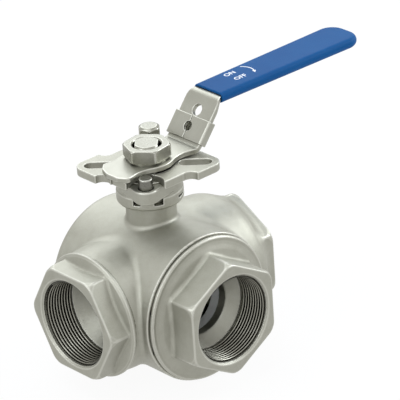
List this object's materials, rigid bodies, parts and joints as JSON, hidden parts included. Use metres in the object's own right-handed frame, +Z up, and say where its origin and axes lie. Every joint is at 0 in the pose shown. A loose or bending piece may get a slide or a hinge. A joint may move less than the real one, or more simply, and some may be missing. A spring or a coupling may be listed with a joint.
{
  "type": "three way ball valve",
  "caption": "Hand lever three way ball valve with screwed ports, a flat actuator pad, a bent locking lever and a soft grip, for diverting or mixing flow.",
  "frame": {"origin": "centre of the ball, where the axes of all ports cross", "axes": "+Z up the stem, +X along the run towards the right port and along the lever at rest, -Y out of the branch port"},
  "size_m": [0.2627, 0.127, 0.1768],
  "materials": {
    "cast_steel": "bead blasted",
    "bright_steel": "satin",
    "ball_steel": "polished",
    "spring_steel": "satin",
    "seat_white": "matte",
    "seal_black": "matte",
    "grip_blue": "satin vinyl"
  },
  "bodies": {
    "valve_body": {"body": "cast_steel", "end_cap": "cast_steel", "cap_gasket": "seat_white", "seat_left": "seat_white", "seat_right": "seat_white", "seat_branch": "seat_white", "seat_back": "seat_white", "thrust_washer": "seat_white", "packing_lower": "seat_white", "packing_middle": "seat_white", "packing_upper": "seat_white", "gland_ring": "bright_steel", "stop_pin": "bright_steel", "stop_bolt": "bright_steel", "stop_nut": "bright_steel"},
    "handle": {"stem": "bright_steel", "stem_seal": "seal_black", "disc_spring_lower": "spring_steel", "disc_spring_upper": "spring_steel", "gland_nut": "bright_steel", "tab_washer": "bright_steel", "lever_plate": "bright_steel", "lever_washer": "bright_steel", "lever_nut": "bright_steel", "grip_sleeve": "grip_blue"},
    "ball": {"ball": "ball_steel"},
    "lock": {"lock_slide": "bright_steel"}
  },
  "joints": [
    {"name": "lever_turn", "type": "hinge", "parent": "valve_body", "child": "handle", "pos_m": [0, 0, 0.06], "axis": [0, 0, 1], "range_deg": [-90, 0]},
    {"name": "ball_turn", "type": "hinge", "parent": "valve_body", "child": "ball", "pos_m": [0, 0, 0], "axis": [0, 0, 1], "range_deg": [-90, 0]},
    {"name": "lock_slide_up", "type": "slide", "parent": "handle", "child": "lock", "axis": [0.6293, 0, 0.7771], "range_m": [0, 0.0125]}
  ],
  "couplings": [
    {"joint": "ball_turn", "follows": "lever_turn", "ratio": 1}
  ]
}
